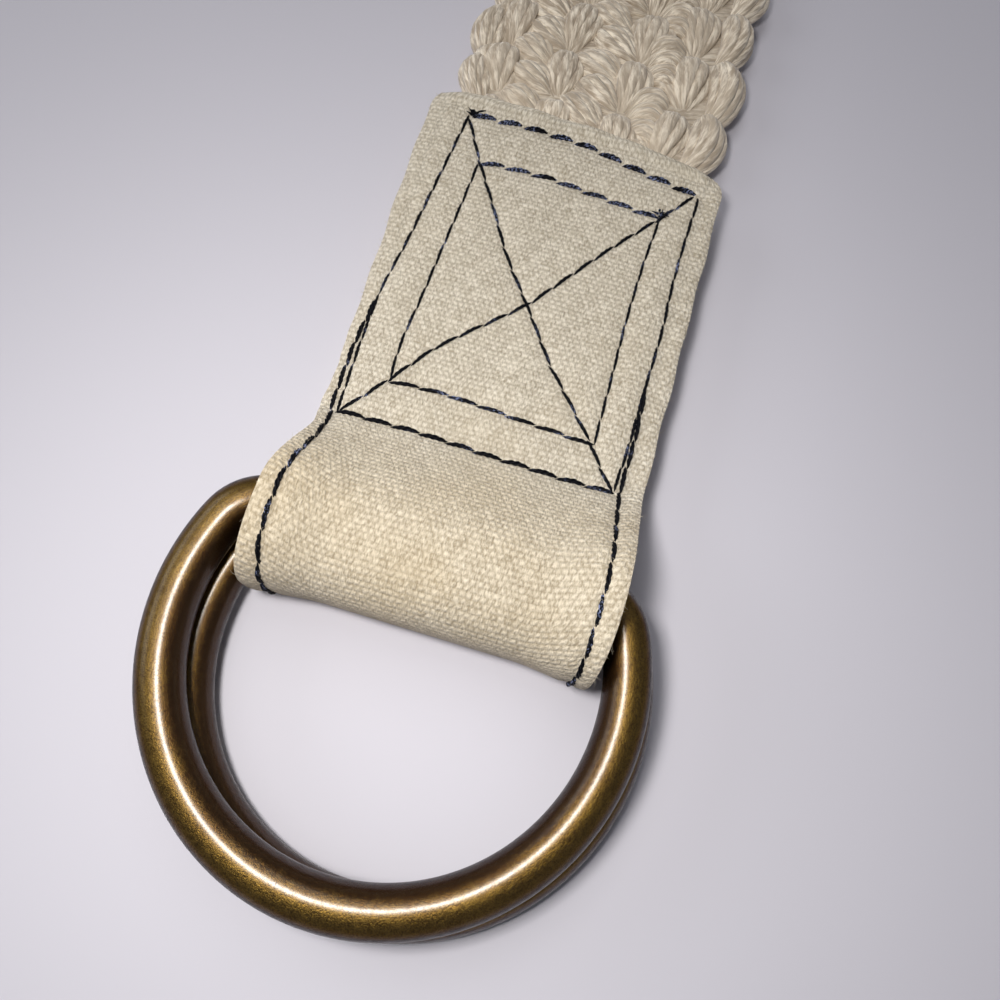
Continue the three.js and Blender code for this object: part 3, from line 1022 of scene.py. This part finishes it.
# %% One repeat of the pattern
ROW = 11.5
FIRST_ROW = 59.2
STRAP_END = 945.0
REPEAT_COLUMNS = ("kind", "tip", "bend", "end", "wide", "high")
REPEAT_ROWS = [
    ("puff", (6.9, -5.6), (13.5, -6.1), (19.2, -6.2), 1.04, 1.0),
    ("puff", (6.2, 6.0), (12.5, 5.8), (17.9, 5.2), 0.98, 0.98),
    ("puff", (3.0, 16.4), (9.5, 16.6), (14.9, 16.2), 1.12, 1.0),
    ("puff", (-0.3, -14.2), (6.0, -13.8), (11.6, -14.4), 1.12, 1.0),
    ("puff", (7.4, -5.2), (9.0, -1.2), (13.0, 2.6), 0.98, 0.96),
    ("puff", (1.8, -3.8), (3.6, 0.6), (7.4, 4.6), 0.98, 0.94),
    ("puff", (6.8, 6.6), (8.2, 10.4), (12.0, 14.0), 0.98, 0.96),
    ("puff", (1.3, 7.8), (3.0, 11.4), (6.8, 14.8), 0.98, 0.94),
    ("puff", (7.6, -6.2), (12.8, -8.4), (11.4, -13.0), 0.76, 0.96),
    ("puff", (6.6, -6.8), (9.6, -9.4), (7.4, -13.4), 0.74, 0.94),
    ("puff", (3.8, -7.2), (6.4, -10.0), (3.6, -13.6), 0.74, 0.92),
    ("edge", (-1.2, -18.5), (5.6, -23.4), (12.6, -18.5), -1.0, 1.0),
    ("edge", (-0.8, 19.0), (5.8, 21.2), (12.4, 19.2), 0.95, 1.0),
]
REPEAT = [dict(zip(REPEAT_COLUMNS, row)) for row in REPEAT_ROWS]

BAND_START, BAND_HALF = 4.0, 19.4
HIDDEN_TO = 46.0
TUCKED_ROWS, NEAR_ROWS = 4, 5
HELD_BOTTOM, HELD_TOP = 1.92, 6.28
STRAP_TOP = 6.95
RISE, SETTLE = 5.0, 16.0
TAIL_ROUNDING = 9.0
TAIL_SQUEEZE = 7.0
TAIL_ROW = [(-19.6, -10.6), (-11.0, -0.4), (-0.8, 9.8), (9.4, 19.6)]
HELD_SHARE = 0.90
HELD_FOR = 13.0
FULL_HALF = 21.4
BAND_END = STRAP_END - 4.0
TAIL_ROW_X = STRAP_END - 3.6
FRONT_FROM, BACK_FROM, EDGE_FROM = 0.60, 0.40, 0.5
PLACE_JITTER, BEND_JITTER, WOBBLE = 0.22, 0.2, 0.05
WIDE_RANGE, HIGH_RANGE = (0.93, 1.07), (0.95, 1.04)


def settled(points):
    """Crochet space, with height 0 to 1, to drawing millimetres."""
    x, y, height = points[:, 0], points[:, 1], points[:, 2]
    moved = x + skew(y) * (1 - step_between(x, TAB_END + RISE, TAB_END + 4 * RISE))
    free = step_between(x, TAB_END + 0.4, TAB_END + 0.4 + RISE)
    bottom = HELD_BOTTOM * (1 - step_between(x, TAB_END, TAB_END + SETTLE))
    top = HELD_TOP + (STRAP_TOP - HELD_TOP) * free
    tail = np.clip((x - (STRAP_END - TAIL_ROUNDING)) / TAIL_ROUNDING, 0, 1)
    narrow = 1 - (TAIL_ROUNDING / FULL_HALF) * (1 - np.sqrt(1 - tail ** 2))
    width = (HELD_SHARE + (1 - HELD_SHARE) * step_between(x, TAB_END, TAB_END + HELD_FOR)) * narrow
    return np.stack([moved, y * width, bottom + np.clip(height, 0, 1.06) * (top - bottom)], axis=-1)


print("rows along the strap:", int((STRAP_END - FIRST_ROW) / ROW))

# %% [markdown]
# Every puff is one of a few bundles laid along its own short bend, with small seeded differences
# in place, width and height, since hand crochet is never quite even. Thousands of objects would be
# slow, so the copies' points are worked out in arrays and joined into a few meshes.

# %% Laying the puffs
def bent(puff, tip, bend, end, wide, high, middle, upward):
    """One puff laid along a bend. middle is the height it rises from, upward 1 or -1."""
    made = puff["points"]
    t = made[:, 0:1]
    tip, bend, end = (np.array(p) for p in (tip, bend, end))
    at = (1 - t) ** 2 * tip + 2 * t * (1 - t) * bend + t ** 2 * end
    way = 2 * (1 - t) * (bend - tip) + 2 * t * (end - bend)
    way /= np.linalg.norm(way, axis=1, keepdims=True)
    sideways = np.stack([-way[:, 1], way[:, 0]], axis=-1)
    flat = at + sideways * made[:, 1:2] * wide
    dive = 0.05 * (1 - t[:, 0]) ** 6 + 0.10 * t[:, 0] ** 4
    height = middle + upward * (made[:, 2] * high / STRAP_TOP - dive)
    length = np.linalg.norm(end - tip)
    return np.column_stack([flat, height]), length


def crochet(name, puffs, first_row, last_row, upward, seed, with_edges=True):
    """The rows of one stretch of one face of the strap, as one piece."""
    rng = np.random.default_rng(seed)
    points, faces, uv, deep = [], [], [], []

    def add(puff, made, length):
        faces.append(puff["faces"] + sum(len(laid) for laid in points))
        points.append(settled(made))
        uv.append(puff["uv"] * [length / FLAT_UV_MM, 1] + rng.uniform(0, 1, 2))
        deep.append(puff["deep"])

    middle = FRONT_FROM if upward > 0 else BACK_FROM
    for k in range(first_row, last_row):
        for row in REPEAT:
            edge_puff = row["kind"] == "edge"
            if edge_puff and not with_edges:
                continue
            puff = puffs[row["kind"]][rng.integers(len(puffs[row["kind"]]))]
            shift = np.array([FIRST_ROW + k * ROW, 0]) + rng.normal(0, PLACE_JITTER, 2)
            ends = [np.array(row[key]) + shift + rng.normal(0, BEND_JITTER, 2)
                    for key in ("tip", "bend", "end")]
            wide = row["wide"] * rng.uniform(*WIDE_RANGE)
            high = row["high"] * rng.uniform(*HIGH_RANGE)
            rise_from = EDGE_FROM if edge_puff else middle
            made, length = bent(puff, *ends, wide, high, rise_from, 1 if edge_puff else upward)
            past = made[:, 0] - (BAND_END - TAIL_SQUEEZE)
            hidden = made[:, 0].min() < (BAND_START if edge_puff else HIDDEN_TO)
            if past.min() > 0 or hidden:
                continue
            past = np.maximum(past, 0)
            made[:, 0] -= past - TAIL_SQUEEZE * (1 - np.exp(-past / TAIL_SQUEEZE))
            made[:, 1] += WOBBLE * np.sin(made[:, 0] * 2.1 + seed) * np.cos(made[:, 1] * 1.7)
            made[:, 0] += WOBBLE * np.sin(made[:, 1] * 2.3 + k)
            add(puff, made, length)
    if last_row == ROWS and with_edges:
        for start, end in TAIL_ROW:
            puff = puffs["edge"][0]
            bend = (TAIL_ROW_X + 0.6, (start + end) / 2)
            made, length = bent(puff, (TAIL_ROW_X, start), bend, (TAIL_ROW_X, end), 1, 1, EDGE_FROM, 1)
            add(puff, made, length)
    piece = joined_piece(name, [placed(laid) for laid in points], faces, yarn, uv, deep=deep)
    return piece


ROWS = int((STRAP_END - FIRST_ROW) / ROW) + 1
HALF_WAY = NEAR_ROWS + (ROWS - NEAR_ROWS) // 2
near_set = {"puff": near_puffs, "edge": near_edges}
far_set = {"puff": far_puffs, "edge": far_edges}
back_set = {"puff": back_puffs}
crochet_pieces = [
    crochet("puffs_near", near_set, -TUCKED_ROWS, NEAR_ROWS, 1, 11),
    crochet("puffs_middle", far_set, NEAR_ROWS, HALF_WAY, 1, 12),
    crochet("puffs_far", far_set, HALF_WAY, ROWS, 1, 13),
    crochet("puffs_back_near", back_set, -2, HALF_WAY, -1, 14, with_edges=False),
    crochet("puffs_back_far", back_set, HALF_WAY, ROWS, -1, 15, with_edges=False),
]

# %% [markdown]
# Between and behind the puffs is the body of the band, the closing loops of every row. It fills the gaps, so
# that no light shows through. A flat grid with a thickness is enough, because only its dark creases are
# seen, and its yarn is painted darker as painted shade.

# %% Body of the band
BAND_THICKNESS = 1.6
YARN_ROUND = 6.3
bpy.ops.object.select_all(action="DESELECT")
bpy.ops.mesh.primitive_grid_add(x_subdivisions=320, y_subdivisions=16, size=2)
band = bpy.context.object
band.name = "crochet_band"
grid = points_of(band.data)
band_x = BAND_START + (grid[:, 0] + 1) / 2 * (BAND_END - BAND_START)
ribs = 0.03 * np.sin(band_x / ROW * 4 * math.pi) * np.cos(grid[:, 1] * 9)
band_space = np.column_stack([band_x, grid[:, 1] * BAND_HALF, 0.5 + ribs])
band_uv = np.stack([grid[:, 1] * BAND_HALF / FLAT_UV_MM, band_x / YARN_ROUND], axis=-1)
laid_out(band, placed(settled(band_space)), band_uv)
thickened(band, BAND_THICKNESS, 0.9, 2, False)
alone(band)
bpy.ops.object.shade_smooth()
# painted shade: the band's yarn is painted darker, for the shade between the puffs
keep_number(band.data, "deep", np.full(len(band.data.vertices), 0.7))
band.data.materials.append(yarn.material)
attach(band, "belt")
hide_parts("crochet_strap")
print("band triangles:", sum(len(p.vertices) - 2 for p in band.data.polygons))

# %% [markdown]
# ## Lint
# Soft cotton is never quite clean at its edges: single fibres stand up from the yarn and from the
# cut and folded canvas. One fibre is drawn out from a small triangle, and seeded copies are set
# on the points of the pieces that they grow from, bent over a little.

# %% Single fibres
fibre_points, fibre_faces = one_strand(3, 3)
FIBRE_RADIUS = 0.017


def lint_on(name, piece, chosen, count, reach, seed, finish):
    """Fibres on some of a piece's points. reach is their shortest and longest length."""
    chance = np.random.default_rng(seed)
    mesh = piece.data
    points = points_of(mesh)
    normals = np.empty(len(mesh.vertices) * 3)
    mesh.vertex_normals.foreach_get("vector", normals)
    normals = normals.reshape(-1, 3)
    roots = chance.choice(np.flatnonzero(chosen(points)), count)
    made, faces = [], []
    for k, root in enumerate(roots):
        way = normals[root] * chance.uniform(0.3, 1.0) + chance.normal(0, 0.6, 3)
        way /= np.linalg.norm(way)
        sideways = np.cross(way, (0.3, 0.2, 0.9))
        sideways /= np.linalg.norm(sideways)
        upright = np.cross(sideways, way)
        length = chance.uniform(*reach) * MM
        bend = chance.normal(0, 0.35, 2)
        t = fibre_points[:, 0:1]
        middle = points[root] + length * (t * way + t * t * (bend[0] * sideways + bend[1] * upright))
        thick = FIBRE_RADIUS * MM * (1 - 0.6 * t)
        fibre = middle + thick * (fibre_points[:, 1:2] * sideways + fibre_points[:, 2:3] * upright)
        fibre[:, 2] = np.maximum(fibre[:, 2], FLOOR_GAP * MM)
        made.append(fibre)
        faces.append(fibre_faces + k * len(fibre_points))
    return joined_piece(name, made, faces, finish, rounded=False)


lint_end = placed([150.0, 0, 0])[0]
half_width = 22.4 * MM
fold_height = 0.012
yarn_lint = lint_on("yarn_lint", crochet_pieces[0], lambda p: p[:, 0] < lint_end, 2400, (0.6, 1.9), 71, yarn)
canvas_lint = lint_on("canvas_lint", tab, lambda p: (np.abs(p[:, 1]) > half_width) | (p[:, 2] > fold_height),
                      1500, (0.3, 0.9), 72, canvas)
